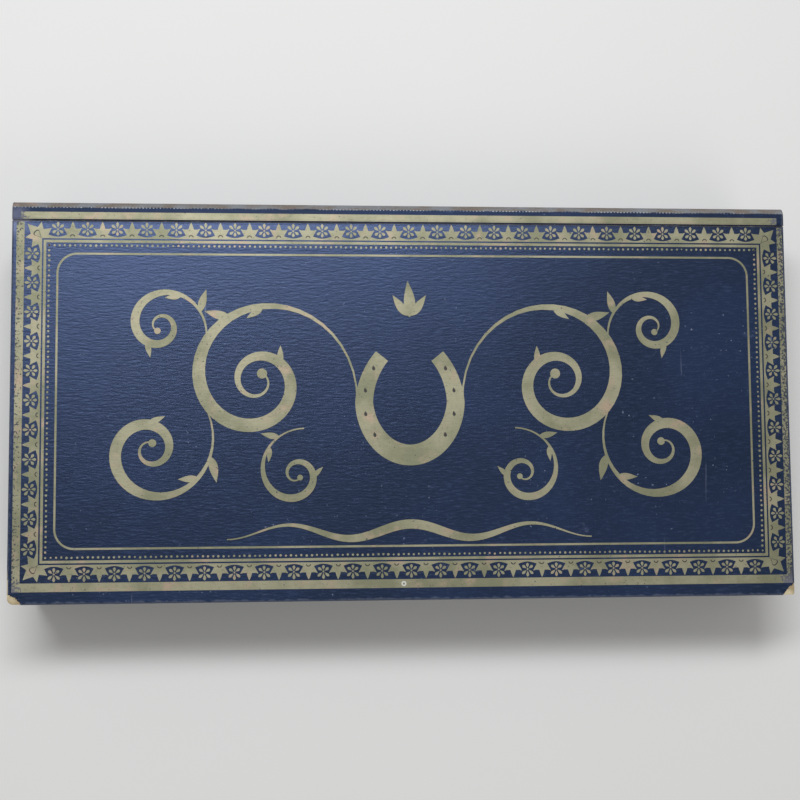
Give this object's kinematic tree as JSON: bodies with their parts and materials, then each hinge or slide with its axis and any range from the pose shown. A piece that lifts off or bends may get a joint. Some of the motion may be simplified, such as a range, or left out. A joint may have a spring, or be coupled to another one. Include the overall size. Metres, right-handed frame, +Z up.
{
  "type": "crank-driven horse race game",
  "caption": "Hinged book-like case with a gilt-printed cover; inside, horses on wire arms circle a course, driven by a crank and gears.",
  "frame": {"origin": "centre of the case's underside", "axes": "+Z up through the cover, +X along the case towards the crank, +Y towards the hinge rail"},
  "size_m": [0.508, 0.258, 0.0763],
  "materials": {
    "cover_paper": "satin",
    "plain_paper": "matte",
    "lining_paper": "matte",
    "card": "matte",
    "spine_cloth": "matte",
    "hinge_cloth": "matte",
    "poplar": "matte",
    "stained_wood": "satin",
    "turf": "matte",
    "hedge": "matte",
    "water": "satin",
    "white_rail": "satin",
    "post_paint": "satin",
    "brass": "satin",
    "steel": "satin",
    "iron": "satin",
    "felt": "matte",
    "ebonised": "polished",
    "boxwood": "satin",
    "bay_horse": "satin",
    "black_horse": "satin",
    "chestnut_horse": "satin",
    "grey_horse": "satin"
  },
  "bodies": {
    "case": {"bottom_board": "card", "tray_floor": "poplar", "front_wall": "poplar", "back_wall": "poplar", "left_wall": "poplar", "right_wall": "poplar", "hinge_rail": "poplar", "spine_board": "card", "spine_cloth": "spine_cloth", "rail_cover_paper": "cover_paper", "wall_covering": "plain_paper", "wall_brads": "steel", "deck_battens": "poplar", "deck_board": "poplar", "deck_screws": "steel", "course_cloth": "turf", "course_rails": "white_rail", "brush_fences": "hedge", "water_jump": "water", "winning_post": "post_paint", "spindle_footstep": "brass", "crank_footstep": "brass", "spindle_bush": "brass", "crank_bush": "brass", "idler_stud": "steel", "left_divider": "stained_wood", "right_divider": "stained_wood", "cross_divider": "stained_wood", "lid_runners": "stained_wood", "counter_rack": "stained_wood", "counters": "boxwood", "stake_card": "card"},
    "lid": {"lid_board": "card", "lid_cover_paper": "cover_paper", "lid_lining": "lining_paper", "lid_eyelet": "brass", "inner_hinge_cloth": "hinge_cloth"},
    "crank": {"crank_shaft": "steel", "crank_gear": "brass", "crank_arm": "iron", "crank_nut": "steel", "knob_pin": "steel"},
    "crank_knob": {"crank_knob": "ebonised"},
    "idler": {"idler_gear": "brass"},
    "spindle": {"spindle": "steel", "spindle_pinion": "brass", "friction_washers": "felt", "spring_washer": "steel", "finial_nut": "brass"},
    "counter_lid": {"counter_lid": "stained_wood", "counter_lid_knob": "ebonised"},
    "horse_1": {"horse_arm_1": "brass", "horse_and_rider_1": "bay_horse"},
    "horse_2": {"horse_arm_2": "brass", "horse_and_rider_2": "black_horse"},
    "horse_3": {"horse_arm_3": "brass", "horse_and_rider_3": "chestnut_horse"},
    "horse_4": {"horse_arm_4": "brass", "horse_and_rider_4": "grey_horse"}
  },
  "joints": [
    {"name": "lid_hinge", "type": "hinge", "parent": "case", "child": "lid", "pos_m": [0, 0.1164, 0.076], "axis": [-1, 0, 0], "range_deg": [0, 176]},
    {"name": "crank_turn", "type": "hinge", "parent": "case", "child": "crank", "pos_m": [0.1775, 0, 0.03], "axis": [0, 0, 1], "continuous": true},
    {"name": "knob_spin", "type": "hinge", "parent": "crank", "child": "crank_knob", "pos_m": [0.1775, 0.038, 0.05], "axis": [0, 0, 1], "continuous": true},
    {"name": "idler_turn", "type": "hinge", "parent": "case", "child": "idler", "pos_m": [0.06625, 0, 0.0115], "axis": [0, 0, 1], "continuous": true},
    {"name": "spindle_turn", "type": "hinge", "parent": "case", "child": "spindle", "pos_m": [0, 0, 0.03], "axis": [0, 0, 1], "continuous": true},
    {"name": "counter_lid_slide", "type": "slide", "parent": "case", "child": "counter_lid", "axis": [0, 1, 0], "range_m": [0, 0.118]},
    {"name": "horse_1_slip", "type": "hinge", "parent": "spindle", "child": "horse_1", "pos_m": [0, 0, 0.05945], "axis": [0, 0, 1], "continuous": true},
    {"name": "horse_2_slip", "type": "hinge", "parent": "spindle", "child": "horse_2", "pos_m": [0, 0, 0.06185], "axis": [0, 0, 1], "continuous": true},
    {"name": "horse_3_slip", "type": "hinge", "parent": "spindle", "child": "horse_3", "pos_m": [0, 0, 0.06425], "axis": [0, 0, 1], "continuous": true},
    {"name": "horse_4_slip", "type": "hinge", "parent": "spindle", "child": "horse_4", "pos_m": [0, 0, 0.06665], "axis": [0, 0, 1], "continuous": true}
  ],
  "couplings": [
    {"joint": "idler_turn", "follows": "crank_turn", "ratio": -1.1707},
    {"joint": "spindle_turn", "follows": "crank_turn", "ratio": 4}
  ]
}
